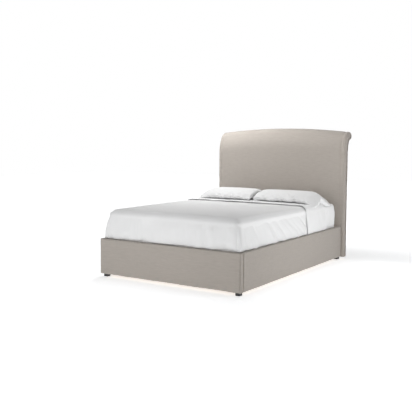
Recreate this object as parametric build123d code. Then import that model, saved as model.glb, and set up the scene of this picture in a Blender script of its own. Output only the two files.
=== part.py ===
"""Upholstered sleigh bed for a 135 x 190 cm mattress, with its mattress, bedding and pillows.

Frame: +Z up, +X to the right seen from the foot end, the foot end towards -Y and the headboard
towards +Y. The origin is on the floor, below the centre of the bed's bounding box. Millimetres.
"""
import os
from math import cos, radians, sin

from build123d import *

# ---- driving dimensions -------------------------------------------------------------------
bed_width = 1440            # outside faces of the two side rails
panel_gap = 2040            # foot rail's front face to the headboard's front face
underside_z = 28            # rails and headboard above the floor
rail_top_z = 340
rail_thickness = 40

cover = 2                   # upholstery fabric
rail_pad = 8                # wadding on the rails
rail_lip = 50               # how far the rail cover returns down the inside

head_width = 1506
head_top_z = 1346           # crest of the arched headboard
head_arch_rise = 43         # crest above the two ends
head_foam = 12
head_ply = 6                # bent plywood front
head_back_board = 4
head_base_depth = 50        # headboard thickness at the floor
head_depth = 72             # headboard thickness in the scroll
head_lean_top_z = 1000      # the back leans out up to here
scroll_lower_radius = 300   # front face: first, gentle bend
scroll_lower_angle = 32
scroll_upper_radius = 110   # front face: second, tighter bend over the top
side_board = 18             # headboard side ribs
head_board_width = 90       # headboard cross rails
head_board_gap = 32         # between the two lowest cross rails
head_middle_rail_z = 700

deck_z = 300                # top of the slats
slat_count = 14             # on each side of the centre beam
slat_width = 56
slat_thickness = 10
slat_end_gap = 70           # first slat to the foot rail's inner face
slat_play = 6               # slat ends to the rail and to the middle plane
slat_edge = 3.5             # radius of the slats' long edges
holder_base = 5
holder_wall = 3
holder_length = 38
holder_gap = 3              # holders to the rail
ledger_width = 25
ledger_height = 40
ledger_play = 6             # ledger ends to the foot rail and the headboard
beam_width = 45
beam_height = 70
hanger_steel = 3            # steel shoes that carry the centre beam
hanger_depth = 40
leg_width = 44
leg_edge = 5
leg_places = (0.34, 0.67)   # shares of the beam's length
glide_radius = 16
glide_height = 8

foot_block = 40
foot_inset = 24
foot_chamfer = 3
head_foot_length = 60       # the feet at the headboard stand half under it, half under the rail

mattress_width = 1350
mattress_length = 1900
mattress_height = 275
mattress_foot_gap = 60      # foot rail's front face to the mattress
tick_side = 9               # quilted border
tick_corner = 30
tick_base = 9
tick_top = 15
spring_radius = 70          # each pocket stands for a group of pocketed springs
spring_pitch = 180
pocket_fabric = 1
rod = 6                     # square steel rods round the spring unit, top and bottom
rod_gap = 30                # rods to the mattress sides
core_gap = 1                # spring unit to the panels above and below it
sheet = 1.5
sheet_skirt = 235           # how far the fitted sheet comes down the mattress sides
clearance = 0.3

coverlet_wall = 8
coverlet_lift = 6           # coverlet above the fitted sheet, with the top sheet in between
coverlet_side_gap = 14      # the coverlet hangs this far off the mattress side
coverlet_foot_gap = 10
bedding_hem_z = 344
turnback_hem_gap = 770      # headboard's front face to the hem of the turned-back top sheet
turnback_fold_gap = 332     # headboard's front face to the top sheet's fold
pillow_width = 690
pillow_depth = 490
pillow_height = 113
pillow_corner = 95
pillow_roll = 0.46          # radius of the rolled edges, as a share of the height
pillow_case = 3
pillow_core_inset = 41
pillow_middle_gap = 10      # between the two pillows
pillow_back_gap = 125       # headboard's front face to the pillows

trim_margin = 300           # outlines and cutting blocks run this far past what is kept

# ---- places worked out from them ----------------------------------------------------------
nose_radius = head_depth / 2
bend = radians(scroll_lower_angle)
scroll_crest_y = (scroll_lower_radius * (1 - cos(bend)) + scroll_upper_radius * cos(bend))
scroll_height = scroll_lower_radius * sin(bend) + scroll_upper_radius * (1 - sin(bend))
overall_depth = panel_gap + scroll_crest_y + nose_radius
foot_y = -overall_depth / 2
head_y = foot_y + panel_gap
half_width = bed_width / 2
half_head = head_width / 2
arch_radius = (half_head ** 2 + head_arch_rise ** 2) / (2 * head_arch_rise)
arch_centre_z = head_top_z - arch_radius
board_inner = rail_thickness - cover           # rail board's inner face, from the outside
board_outer = cover + rail_pad
inside_x = half_width - board_inner
ledger_top_z = deck_z - slat_thickness - holder_base
mattress_foot_y = foot_y + mattress_foot_gap
mattress_z = deck_z + clearance
mattress_top_z = mattress_z + mattress_height
sheet_top_z = mattress_top_z + clearance + sheet
coverlet_z = sheet_top_z + coverlet_lift
coverlet_top_z = coverlet_z + coverlet_wall
turnback_top_z = coverlet_top_z + clearance + sheet

parts = {}


def block(x_range, y_range, z_range):
    """A box between two limits on each axis."""
    size = [b - a for a, b in (x_range, y_range, z_range)]
    centre = [(a + b) / 2 for a, b in (x_range, y_range, z_range)]
    return Pos(*centre) * Box(*size)


def span(a, b):
    """Two limits in rising order."""
    return (min(a, b), max(a, b))


def mirrored(side, a, b):
    """A range of distances from the middle plane, on the side -1 (left) or +1 (right)."""
    return span(side * a, side * b)


# ---- headboard ----------------------------------------------------------------------------
def front_curve(depth):
    """Points of the curve that lies this far inside the headboard's front face, bottom to crest:
    a straight rise, the gentle bend and the tight bend. Y is measured from the front face."""
    start_z = head_top_z - scroll_height
    lower, upper = scroll_lower_radius - depth, scroll_upper_radius - depth
    upper_z = head_top_z - scroll_upper_radius

    def on_lower(angle):
        return (scroll_lower_radius - lower * cos(angle), start_z + lower * sin(angle))

    def on_upper(angle):
        return (scroll_crest_y - upper * cos(angle), upper_z + upper * sin(angle))

    quarter = radians(90)
    return [(depth, underside_z - trim_margin), (depth, start_z), on_lower(bend / 2), on_lower(bend),
            on_upper((bend + quarter) / 2), on_upper(quarter)]


def back_curve(depth):
    """The same for the curve this far inside the back, with the lean below it, crest to bottom."""
    curve = front_curve(head_depth - depth)[:0:-1]
    slope = (head_depth - head_base_depth) / (head_lean_top_z - underside_z)
    base_z = underside_z - trim_margin
    lean = (head_lean_top_z - base_z) * slope
    return curve + [(head_depth - depth, head_lean_top_z), (head_depth - depth - lean, base_z)]


def rising_edges(points):
    """Line and two arcs through a front curve's points."""
    p = [Vector(0, y, z) for y, z in points]
    return [Line(p[0], p[1]), ThreePointArc(p[1], p[2], p[3]), ThreePointArc(p[3], p[4], p[5])]


def falling_edges(points):
    """Two arcs and two lines through a back curve's points."""
    p = [Vector(0, y, z) for y, z in points]
    return [ThreePointArc(p[0], p[1], p[2]), ThreePointArc(p[2], p[3], p[4]),
            Line(p[4], p[5]), Line(p[5], p[6])]


def nose_arc(radius):
    """Half circle round the scroll's nose, from its top to its underside."""
    y, z = scroll_crest_y, head_top_z - nose_radius
    return ThreePointArc(Vector(0, y, z + radius), Vector(0, y + radius, z), Vector(0, y, z - radius))


def headboard_solid(edges, x_range, z_range=(underside_z, head_top_z + trim_margin)):
    """Turns a closed outline about the arch's centre and trims it to the given slab."""
    outline = Pos(0, head_y, 0) * make_face(Wire(edges))
    axis = Axis((0, 0, arch_centre_z), (0, 1, 0))
    half_turn = 10
    turned = revolve(outline, axis, half_turn) + revolve(outline, axis, -half_turn)
    return turned & block(x_range, (head_y - trim_margin, head_y + trim_margin), z_range)


def between(front_depth, back_depth):
    """Closed outline between the front curve and the back curve, open space round the nose left out."""
    front, back = front_curve(front_depth), back_curve(back_depth)
    rise, fall = rising_edges(front), falling_edges(back)
    crest = Line(rise[-1] @ 1, fall[0] @ 0)
    base = Line(fall[-1] @ 1, rise[0] @ 0)
    return rise + [crest] + fall + [base]


def layer(outer, inner):
    """Closed outline of a layer under the front face, between two depths, without the nose."""
    rise, inside = rising_edges(front_curve(outer)), rising_edges(front_curve(inner))
    crest = Line(rise[-1] @ 1, inside[-1] @ 1)
    base = Line(inside[0] @ 0, rise[0] @ 0)
    return rise + [crest] + inside[::-1] + [base]


def nose_layer(outer, inner):
    """Closed outline of a layer that runs up the front, over the crest and round the nose."""
    rise, inside = rising_edges(front_curve(outer)), rising_edges(front_curve(inner))
    around, within = nose_arc(nose_radius - outer), nose_arc(nose_radius - inner)
    end = Line(around @ 1, within @ 1)
    base = Line(inside[0] @ 0, rise[0] @ 0)
    return rise + [around, end, within] + inside[::-1] + [base]


def back_layer(outer, inner):
    """Closed outline of a layer over the back, between two depths, from the nose to the floor."""
    fall, inside = falling_edges(back_curve(outer)), falling_edges(back_curve(inner))
    crest = Line(inside[0] @ 0, fall[0] @ 0)
    base = Line(fall[-1] @ 1, inside[-1] @ 1)
    return fall + [base] + inside[::-1] + [crest]


def make_headboard():
    band = cover
    inner_half = half_head - band
    whole = (-inner_half, inner_half)
    foam_in = cover + head_foam
    ply_in = foam_in + head_ply
    back_in = cover + head_back_board
    parts["headboard_cover_front"] = headboard_solid(nose_layer(0, cover), whole)
    parts["headboard_foam"] = headboard_solid(nose_layer(cover, foam_in), whole)
    parts["headboard_front_ply"] = headboard_solid(layer(foam_in, ply_in), whole)
    parts["headboard_back_board"] = headboard_solid(back_layer(cover, back_in), whole)
    parts["headboard_cover_back"] = headboard_solid(back_layer(0, cover), whole)
    core = between(ply_in, back_in)
    rib_inner = inner_half - side_board
    for name, x_range in (("left", (-inner_half, -rib_inner)), ("right", (rib_inner, inner_half))):
        parts[f"headboard_rib_{name}"] = headboard_solid(core, x_range)
    third = rib_inner / 3
    half_board = side_board / 2
    middle_ribs = [headboard_solid(core, (x - half_board, x + half_board)) for x in (-third, third)]
    parts["headboard_inner_ribs"] = Compound(children=middle_ribs)
    bays = [(-rib_inner, -third - half_board), (-third + half_board, third - half_board),
            (third + half_board, rib_inner)]
    lower_rail_z = underside_z + head_board_width + head_board_gap
    rails = {
        "headboard_bottom_rail": (underside_z, underside_z + head_board_width),
        "headboard_lower_rail": (lower_rail_z, lower_rail_z + head_board_width),
        "headboard_middle_rail": (head_middle_rail_z, head_middle_rail_z + head_board_width),
    }
    for name, z_range in rails.items():
        parts[name] = Compound(children=[headboard_solid(core, bay, z_range) for bay in bays])
    nose_inner = nose_radius - foam_in
    crest_line = Line(nose_arc(nose_inner) @ 1, nose_arc(nose_inner) @ 0)
    parts["headboard_nose_rail"] = headboard_solid([nose_arc(nose_inner), crest_line], whole)
    gusset = rising_edges(front_curve(0)) + [nose_arc(nose_radius)] + falling_edges(back_curve(0))
    gusset.append(Line(gusset[-1] @ 1, gusset[0] @ 0))
    for name, side in (("left", -1), ("right", 1)):
        parts[f"headboard_gusset_{name}"] = headboard_solid(gusset, mirrored(side, inner_half, half_head))


# ---- rails --------------------------------------------------------------------------------
def rail_layers(place):
    """Board, pad and cover of one rail. place(u_range, z_range) makes a block from ranges of the
    distance in from the outside face and of the height."""
    pad_top = rail_top_z - cover
    board_top = pad_top - rail_pad
    board_foot = underside_z + cover
    board = place((board_outer, board_inner), (board_foot, board_top))
    pad = Compound(children=[place((cover, board_outer), (board_foot, pad_top)),
                             place((board_outer, board_inner), (board_top, pad_top))])
    skin = place((0, cover), (underside_z, rail_top_z)) \
        + place((cover, rail_thickness), (pad_top, rail_top_z)) \
        + place((board_inner, rail_thickness), (rail_top_z - rail_lip, pad_top)) \
        + place((cover, board_inner), (underside_z, board_foot))
    return board, pad, skin


def make_rails():
    side_start, side_end = foot_y + rail_thickness, head_y
    for name, side in (("left", -1), ("right", 1)):
        def place(u_range, z_range, side=side):
            x_range = mirrored(side, half_width - u_range[0], half_width - u_range[1])
            return block(x_range, (side_start, side_end), z_range)
        board, pad, skin = rail_layers(place)
        parts[f"side_rail_{name}_board"] = board
        parts[f"side_rail_{name}_pad"] = pad
        parts[f"side_rail_{name}_cover"] = skin

    def place_foot(u_range, z_range):
        y_range = (foot_y + u_range[0], foot_y + u_range[1])
        return block((-half_width + cover, half_width - cover), y_range, z_range)
    board, pad, skin = rail_layers(place_foot)
    ends = [block(mirrored(side, half_width - cover, half_width), (foot_y, foot_y + rail_thickness),
                  (underside_z, rail_top_z)) for side in (-1, 1)]
    parts["foot_rail_board"] = board
    parts["foot_rail_pad"] = pad
    parts["foot_rail_cover"] = skin + ends[0] + ends[1]


# ---- slatted deck -------------------------------------------------------------------------
def slat_places():
    first = foot_y + rail_thickness + slat_end_gap + slat_width / 2
    last = head_y - slat_end_gap - slat_width / 2
    step = (last - first) / (slat_count - 1)
    return [first + step * i for i in range(slat_count)]


def slat(side, y):
    """One sprung slat with rounded long edges, from the centre beam to a side ledger."""
    x_range = mirrored(side, slat_play, inside_x - slat_play)
    body = block(x_range, (y - slat_width / 2, y + slat_width / 2), (deck_z - slat_thickness, deck_z))
    return fillet(body.edges().filter_by(Axis.X), slat_edge)


def slat_holder(x_range, y):
    """A plastic socket round a slat's end: a base and two cheeks."""
    slat_foot = deck_z - slat_thickness
    half = slat_width / 2
    base = block(x_range, (y - half - holder_wall, y + half + holder_wall), (ledger_top_z, slat_foot))
    cheeks = [block(x_range, span(y + s * half, y + s * (half + holder_wall)), (slat_foot, deck_z))
              for s in (-1, 1)]
    return base + cheeks[0] + cheeks[1]


def make_deck():
    ledger_y = (foot_y + rail_thickness + ledger_play, head_y - ledger_play)
    for name, side in (("left", -1), ("right", 1)):
        parts[f"ledger_{name}"] = block(mirrored(side, inside_x - ledger_width, inside_x), ledger_y,
                                        (ledger_top_z - ledger_height, ledger_top_z))
        parts[f"slats_{name}"] = Compound(children=[slat(side, y) for y in slat_places()])
        x_range = mirrored(side, inside_x - holder_length, inside_x - holder_gap)
        parts[f"slat_holders_{name}"] = Compound(
            children=[slat_holder(x_range, y) for y in slat_places()])
    centre = (-holder_length, holder_length)
    parts["slat_holders_centre"] = Compound(children=[slat_holder(centre, y) for y in slat_places()])
    beam_start, beam_end = foot_y + board_inner + hanger_steel, head_y - hanger_steel
    beam_foot = ledger_top_z - beam_height
    half_beam = beam_width / 2
    parts["centre_beam"] = block((-half_beam, half_beam), (beam_start, beam_end),
                                 (beam_foot, ledger_top_z))
    half_hanger = half_beam + hanger_steel
    for name, wall_y, inward in (("front", foot_y + board_inner, 1), ("rear", head_y, -1)):
        outer = block((-half_hanger, half_hanger), span(wall_y, wall_y + inward * hanger_depth),
                      (beam_foot - hanger_steel, rail_top_z - rail_lip - cover))
        pocket = block((-half_beam, half_beam),
                       span(wall_y + inward * hanger_steel, wall_y + inward * 2 * hanger_depth),
                       (beam_foot, rail_top_z))
        parts[f"beam_hanger_{name}"] = outer - pocket
    reach = beam_end - beam_start
    half_leg = leg_width / 2
    for name, share in zip(("front", "rear"), leg_places):
        y = beam_start + reach * share
        leg = block((-half_leg, half_leg), (y - half_leg, y + half_leg), (glide_height, beam_foot))
        glide = Cylinder(glide_radius, glide_height)
        parts[f"centre_leg_{name}"] = fillet(leg.edges().filter_by(Axis.Z), leg_edge)
        parts[f"centre_leg_{name}_glide"] = Pos(0, y, glide_height / 2) * glide


# ---- corner fittings and feet -------------------------------------------------------------
bracket_leg = 60
bracket_steel = 4
bracket_z = (70, 230)
screw_end_gap = 35          # screws to the bracket's ends
screw_out = 36              # screws to the bracket's corner
screw_radius = 4
screw_head_radius = 8
screw_head = 4
rail_screw_reach = 28
head_screw_reach = 38       # through the headboard's foam and plywood into its cross rails


def make_corner_fittings():
    """A steel angle in each inside corner, with two screws through each leg into the timber."""
    cutters, screws, brackets = [], [], []
    screw_z = (bracket_z[0] + screw_end_gap, bracket_z[1] - screw_end_gap)
    ends = ((foot_y + board_inner, 1, rail_screw_reach), (head_y, -1, head_screw_reach))
    for side in (-1, 1):
        for wall_y, inward, end_reach in ends:
            along_rail = block(mirrored(side, inside_x - bracket_steel, inside_x),
                               span(wall_y, wall_y + inward * bracket_leg), bracket_z)
            along_end = block(mirrored(side, inside_x - bracket_leg, inside_x),
                              span(wall_y, wall_y + inward * bracket_steel), bracket_z)
            bracket = along_rail + along_end
            for z in screw_z:
                rail_seat = Location((side * (inside_x - bracket_steel), wall_y + inward * screw_out, z),
                                     (0, side * 90, 0))
                end_seat = Location((side * (inside_x - screw_out), wall_y + inward * bracket_steel, z),
                                    (inward * 90, 0, 0))
                for seat, reach in ((rail_seat, rail_screw_reach), (end_seat, end_reach)):
                    shank = seat * Pos(0, 0, reach / 2) * Cylinder(screw_radius, reach)
                    head = seat * Pos(0, 0, -screw_head / 2) * Cylinder(screw_head_radius, screw_head)
                    cutters.append(shank)
                    screws.append(shank + head)
                    bracket = bracket - shank
            brackets.append(bracket)
    parts["corner_brackets"] = Compound(children=brackets)
    parts["bracket_screws"] = Compound(children=screws)
    drilled = ["side_rail_left_board", "side_rail_right_board", "foot_rail_board",
               "headboard_cover_front", "headboard_foam", "headboard_front_ply",
               "headboard_bottom_rail", "headboard_lower_rail"]
    for name in drilled:
        box = parts[name].bounding_box()
        for cutter in cutters:
            near = cutter.bounding_box()
            if box.overlaps(near):
                parts[name] = parts[name] - cutter


def make_feet():
    outer_x = half_width - foot_inset
    for name, side in (("left", -1), ("right", 1)):
        x_range = mirrored(side, outer_x - foot_block, outer_x)
        places = {
            f"foot_front_{name}": (foot_y + foot_inset, foot_y + foot_inset + foot_block),
            f"foot_head_{name}": (head_y - head_foot_length / 2, head_y + head_foot_length / 2),
        }
        for node, y_range in places.items():
            solid = block(x_range, y_range, (0, underside_z))
            parts[node] = chamfer(solid.faces().sort_by(Axis.Z)[0].edges(), foot_chamfer)


# ---- mattress and bedding -----------------------------------------------------------------
def make_mattress():
    half = mattress_width / 2
    y_range = (mattress_foot_y, mattress_foot_y + mattress_length)
    base_top = mattress_z + tick_base
    panel_foot = mattress_top_z - tick_top
    walls = (base_top, panel_foot)
    base = block((-half, half), y_range, (mattress_z, base_top))
    top = block((-half, half), y_range, (panel_foot, mattress_top_z))
    parts["mattress_base_panel"] = fillet(base.edges().filter_by(Axis.Z), tick_corner)
    parts["mattress_top_panel"] = fillet(top.edges().filter_by(Axis.Z), tick_corner)
    corner_x, corner_y = half - tick_corner, (y_range[0] + tick_corner, y_range[1] - tick_corner)
    border = [block(mirrored(side, half - tick_side, half), corner_y, walls) for side in (-1, 1)]
    border += [block((-corner_x, corner_x), span(y, y + inward * tick_side), walls)
               for y, inward in ((y_range[0], 1), (y_range[1], -1))]
    wall_height = walls[1] - walls[0]
    tube = Cylinder(tick_corner, wall_height) - Cylinder(tick_corner - tick_side, wall_height)
    for x_side, y, y_side in ((-1, corner_y[0], -1), (1, corner_y[0], -1),
                              (-1, corner_y[1], 1), (1, corner_y[1], 1)):
        quarter = tube & block(mirrored(x_side, 0, tick_corner), mirrored(y_side, 0, tick_corner),
                               (-wall_height, wall_height))
        border.append(Pos(x_side * corner_x, y, sum(walls) / 2) * quarter)
    parts["mattress_border"] = Compound(children=border)
    rod_x = (-half + rod_gap, half - rod_gap)
    rod_y = (y_range[0] + rod_gap, y_range[1] - rod_gap)
    frames = []
    for z in (base_top + core_gap, panel_foot - core_gap - rod):
        outer = block(rod_x, rod_y, (z, z + rod))
        inner = block((rod_x[0] + rod, rod_x[1] - rod), (rod_y[0] + rod, rod_y[1] - rod),
                      (z, z + rod))
        frames.append(outer - inner)
    parts["mattress_border_rods"] = Compound(children=frames)
    columns = int((mattress_width - 2 * rod_gap) // spring_pitch)
    rows = int((mattress_length - 2 * rod_gap) // spring_pitch)
    height = panel_foot - base_top - 2 * core_gap
    pocket = Cylinder(spring_radius, height) - Cylinder(spring_radius - pocket_fabric, height)
    mid_y, mid_z = sum(y_range) / 2, (base_top + panel_foot) / 2
    pockets = [Pos((i - (columns - 1) / 2) * spring_pitch, mid_y + (j - (rows - 1) / 2) * spring_pitch,
                   mid_z) * pocket for i in range(columns) for j in range(rows)]
    parts["mattress_pocket_springs"] = Compound(children=pockets)


def hung(reach, wall, foot, head, z_range):
    """Cloth laid on the mattress from foot to head, with a wall hanging down on each side. reach is
    from the middle plane to the outside of the walls."""
    hem_z, top_z = z_range
    top = block((-reach, reach), (foot, head), (top_z - wall, top_z))
    walls = [block(mirrored(side, reach - wall, reach), (foot, head), (hem_z, top_z - wall))
             for side in (-1, 1)]
    return top + walls[0] + walls[1]


def make_bedding():
    half = mattress_width / 2 + clearance
    y_range = (mattress_foot_y - clearance, mattress_foot_y + mattress_length + clearance)
    skirt_z = mattress_top_z - sheet_skirt
    outer = block((-half - sheet, half + sheet), (y_range[0] - sheet, y_range[1] + sheet),
                  (skirt_z, sheet_top_z))
    inner = block((-half, half), y_range, (skirt_z - 1, sheet_top_z - sheet))
    parts["fitted_sheet"] = outer - inner
    reach = half + coverlet_side_gap + coverlet_wall
    foot_in = y_range[0] - sheet - coverlet_foot_gap
    foot_out = foot_in - coverlet_wall
    fold_y = head_y - turnback_fold_gap
    coverlet_head = fold_y - sheet - clearance
    foot_wall = block((-reach + coverlet_wall, reach - coverlet_wall), (foot_out, foot_in),
                      (bedding_hem_z, coverlet_z))
    parts["coverlet"] = hung(reach, coverlet_wall, foot_out, coverlet_head,
                             (bedding_hem_z, coverlet_top_z)) + foot_wall
    over = reach + clearance + sheet
    turned = hung(over, sheet, head_y - turnback_hem_gap, fold_y, (bedding_hem_z, turnback_top_z))
    under_z = (sheet_top_z + clearance, sheet_top_z + clearance + sheet)
    under = block((-half, half), (y_range[0], fold_y), under_z)
    fold = block((-half, half), (fold_y - sheet, fold_y), (under_z[0], turnback_top_z))
    parts["top_sheet"] = turned + under + fold


def pillow_shape(inset):
    """A plump rectangle with rounded corners and rolled edges, shrunk on all sides by the inset."""
    height = pillow_height - 2 * inset
    outline = RectangleRounded(pillow_width - 2 * inset, pillow_depth - 2 * inset,
                               pillow_corner - inset / 2)
    solid = extrude(outline, height)
    rims = solid.faces().sort_by(Axis.Z)
    edges = rims[0].edges() + rims[-1].edges()
    return Pos(0, 0, inset) * fillet(edges, height * pillow_roll)


def make_pillows():
    x = (pillow_width + pillow_middle_gap) / 2
    y = head_y - pillow_back_gap - pillow_depth / 2
    for name, side in (("left", -1), ("right", 1)):
        place = Pos(side * x, y, turnback_top_z + clearance)
        parts[f"pillow_{name}_case"] = place * (pillow_shape(0) - pillow_shape(pillow_case))
        parts[f"pillow_{name}_filling"] = place * pillow_shape(pillow_core_inset)


make_headboard()
make_rails()
make_deck()
make_corner_fittings()
make_feet()
make_mattress()
make_bedding()
make_pillows()

os.makedirs("parts", exist_ok=True)
for node, shape in parts.items():
    export_step(shape, f"parts/{node}.step")
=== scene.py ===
"""Looks for the sleigh bed: upholstery, mattress, bedding, materials, light and camera.

Everything is in metres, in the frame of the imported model: +X to the right across the bed seen from
its foot, +Y from the foot end to the headboard, +Z up, with the floor at z = 0.
"""
import fnmatch
import itertools
import math
from math import pi

import bmesh
import bpy
import numpy as np
from mathutils import Matrix, Vector


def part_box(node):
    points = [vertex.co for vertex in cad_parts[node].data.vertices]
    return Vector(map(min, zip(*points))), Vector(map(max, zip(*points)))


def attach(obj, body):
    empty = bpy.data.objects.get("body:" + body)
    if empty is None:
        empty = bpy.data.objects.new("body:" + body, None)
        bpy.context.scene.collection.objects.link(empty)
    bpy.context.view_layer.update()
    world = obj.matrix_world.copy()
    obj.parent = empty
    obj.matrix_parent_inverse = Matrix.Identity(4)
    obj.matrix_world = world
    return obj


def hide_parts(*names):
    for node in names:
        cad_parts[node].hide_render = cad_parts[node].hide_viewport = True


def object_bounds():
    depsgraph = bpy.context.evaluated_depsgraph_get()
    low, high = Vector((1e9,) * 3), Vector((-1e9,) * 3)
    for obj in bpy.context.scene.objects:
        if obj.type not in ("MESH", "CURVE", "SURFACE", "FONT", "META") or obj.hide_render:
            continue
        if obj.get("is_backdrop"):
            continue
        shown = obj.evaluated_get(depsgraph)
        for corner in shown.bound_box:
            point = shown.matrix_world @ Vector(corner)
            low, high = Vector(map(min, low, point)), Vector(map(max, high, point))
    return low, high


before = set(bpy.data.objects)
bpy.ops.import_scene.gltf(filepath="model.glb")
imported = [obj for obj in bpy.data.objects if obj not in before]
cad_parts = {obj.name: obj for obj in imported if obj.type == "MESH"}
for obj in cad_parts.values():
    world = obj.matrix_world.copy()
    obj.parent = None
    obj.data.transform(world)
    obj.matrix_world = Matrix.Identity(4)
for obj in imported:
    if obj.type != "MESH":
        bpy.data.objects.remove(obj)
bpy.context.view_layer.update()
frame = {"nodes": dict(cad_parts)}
nodes = frame["nodes"]


# ---- small tools --------------------------------------------------------------------------
def noise(a, b, seed):
    """Smooth noise from -1 to 1 over two coordinates, with one random value per unit cell."""
    points = np.stack(np.broadcast_arrays(a, b), axis=-1)
    cell = np.floor(points).astype(np.int64)
    share = points - cell
    share = share * share * (3 - 2 * share)
    total = 0
    for corner in itertools.product((0, 1), repeat=2):
        c = cell + np.array(corner)
        h = (c[..., 0] * 374761393 + c[..., 1] * 668265263 + seed * 974711) & 0xFFFFFFFF
        h = ((h ^ (h >> 13)) * 1274126177) & 0xFFFFFFFF
        value = ((h ^ (h >> 16)) & 0xFFFF) / 32767.5 - 1
        total = total + value * np.prod(np.where(corner, share, 1 - share), axis=-1)
    return total


def waves(a, b, *layers):
    """Noise layers added up, each (height, cell size along a, cell size along b, seed)."""
    return sum(height * noise(a / a_size, b / b_size, seed) for height, a_size, b_size, seed in layers)


def bump(value, centre, width):
    """A bell of height 1 round the centre."""
    return np.exp(-((value - centre) / width) ** 2)


def ease(value, start, end):
    """0 before start, 1 after end, smooth between."""
    t = np.clip((value - start) / (end - start), 0, 1)
    return t * t * (3 - 2 * t)


def unit(vectors):
    """The same directions at length 1."""
    return vectors / np.maximum(np.linalg.norm(vectors, axis=-1, keepdims=True), 1e-12)


def grid_normals(grid):
    """Unit normals of a grid of points, from its rows and columns."""
    return unit(np.cross(np.gradient(grid, axis=0), np.gradient(grid, axis=1)))


def spans(*parts):
    """Evenly spaced values over adjoining spans, each (start, end, count), with no value twice."""
    return np.concatenate([np.linspace(*part)[:-1] for part in parts[:-1]] + [np.linspace(*parts[-1])])


def run_length(row):
    """Distance along a row of points from its start."""
    steps = np.linalg.norm(np.diff(row, axis=0), axis=1)
    return np.concatenate([[0], np.cumsum(steps)])


def arc(centre, radius, start, end, count):
    """Points of an arc in a plane, its angles in degrees."""
    turn = np.radians(np.linspace(start, end, count))
    return list(np.stack([centre[0] + radius * np.cos(turn), centre[1] + radius * np.sin(turn)], axis=-1))


def divided(points, step):
    """The same line of points, with more between them where they stand further apart than step."""
    points = np.array(points)
    dense = [points[0]]
    for a, b in itertools.pairwise(points):
        count = max(1, int(math.dist(a, b) / step))
        dense += [a + (b - a) * k / count for k in range(1, count + 1)]
    return np.array(dense)


def grid_quads(index):
    """Four-cornered faces over a grid of vertex numbers."""
    return np.stack([index[:-1, :-1], index[:-1, 1:], index[1:, 1:], index[1:, :-1]], -1).reshape(-1, 4)


def as_piece(name, mesh):
    """The mesh, shaded smooth, as an object in the scene."""
    mesh.polygons.foreach_set("use_smooth", [True] * len(mesh.polygons))
    mesh.update()
    piece = bpy.data.objects.new(name, mesh)
    bpy.context.scene.collection.objects.link(piece)
    return piece


def grid_mesh(name, grid, flip=False):
    """A mesh object from a grid of points, rows x columns x 3."""
    quads = grid_quads(np.arange(grid[..., 0].size).reshape(grid.shape[:2]))
    if flip:
        quads = quads[:, ::-1]
    mesh = bpy.data.meshes.new(name)
    mesh.from_pydata(grid.reshape(-1, 3).tolist(), [], quads.tolist())
    return as_piece(name, mesh)


def solidify(piece, thickness):
    """Gives a skin its cloth thickness, inwards."""
    made = piece.modifiers.new("cloth", "SOLIDIFY")
    made.thickness = thickness
    made.offset = -1.0
    made.use_rim = True


def dress(piece, material, body, slot, *replaced):
    """Material, body, slot and the CAD nodes that the piece stands for. The slot is not used."""
    piece.data.materials.clear()
    piece.data.materials.append(material)
    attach(piece, body)
    if replaced:
        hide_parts(*replaced)


def finish_padded(piece, look, fill, thickness, *replaced):
    """Dresses a padded piece; look is its material, body and slot."""
    if thickness:
        solidify(piece, thickness)
    dress(piece, *look, *replaced)


# ---- materials ----------------------------------------------------------------------------
def add_node(tree, kind, inputs=None, **settings):
    """A new node with its settings, and each input linked to a socket or set to a value."""
    node = tree.nodes.new(kind)
    for key, value in settings.items():
        setattr(node, key, value)
    for key, value in (inputs or {}).items():
        if isinstance(value, bpy.types.NodeSocket):
            tree.links.new(value, node.inputs[key])
        else:
            node.inputs[key].default_value = value
    return node


class Shader:
    """A principled material with a short way to add and link nodes."""

    def __init__(self, name, roughness=0.8, **fixed):
        self.material = bpy.data.materials.new(name)
        self.material.use_nodes = True
        self.tree = self.material.node_tree
        self.bsdf = self.tree.nodes["Principled BSDF"]
        self.bsdf.inputs["Roughness"].default_value = roughness
        for socket, value in fixed.items():
            self.bsdf.inputs[socket.replace("_", " ")].default_value = value
        self.place = self.add("ShaderNodeTexCoord").outputs["Object"]

    def add(self, kind, inputs=None, **settings):
        return add_node(self.tree, kind, inputs, **settings)

    def link(self, source, target):
        self.tree.links.new(source, target)

    def math(self, operation, a, b=0.0, c=0.0):
        return self.add("ShaderNodeMath", {0: a, 1: b, 2: c}, operation=operation).outputs[0]

    def stretched(self, scale):
        return self.add("ShaderNodeMapping", {"Vector": self.place, "Scale": scale}).outputs[0]

    def noise(self, scale, detail=2.0, rough=0.5, stretch=(1, 1, 1)):
        node = self.add("ShaderNodeTexNoise", {"Vector": self.stretched(stretch), "Scale": scale,
                                               "Detail": detail, "Roughness": rough})
        return node.outputs["Fac"]

    def mix(self, share, a, b):
        """Colour b laid over a by share; each is a socket or (red, green, blue)."""
        a, b = [(*colour, 1.0) if isinstance(colour, tuple) else colour for colour in (a, b)]
        return self.add("ShaderNodeMix", {"Factor": share, 6: a, 7: b}, data_type="RGBA").outputs[2]

    def threads(self, pitch):
        """A grid of small bumps, one per crossing of the threads, on a face of any direction."""
        split = self.add("ShaderNodeSeparateXYZ", {0: self.place})
        rate = 2 * pi / pitch
        waves = [self.math("SINE", self.math("MULTIPLY", split.outputs[i], rate)) for i in range(3)]
        return self.math("ADD", self.math("ADD", waves[0], waves[1]), waves[2])

    def bump(self, *layers):
        """Height layers, each (height, strength, distance), one on top of the other."""
        normal = None
        for height, strength, distance in layers:
            inputs = {"Height": height, "Strength": strength, "Distance": distance}
            if normal is not None:
                inputs["Normal"] = normal
            normal = self.add("ShaderNodeBump", inputs).outputs["Normal"]
        self.link(normal, self.bsdf.inputs["Normal"])

    def colour(self, source):
        self.link(source, self.bsdf.inputs["Base Color"])


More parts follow.
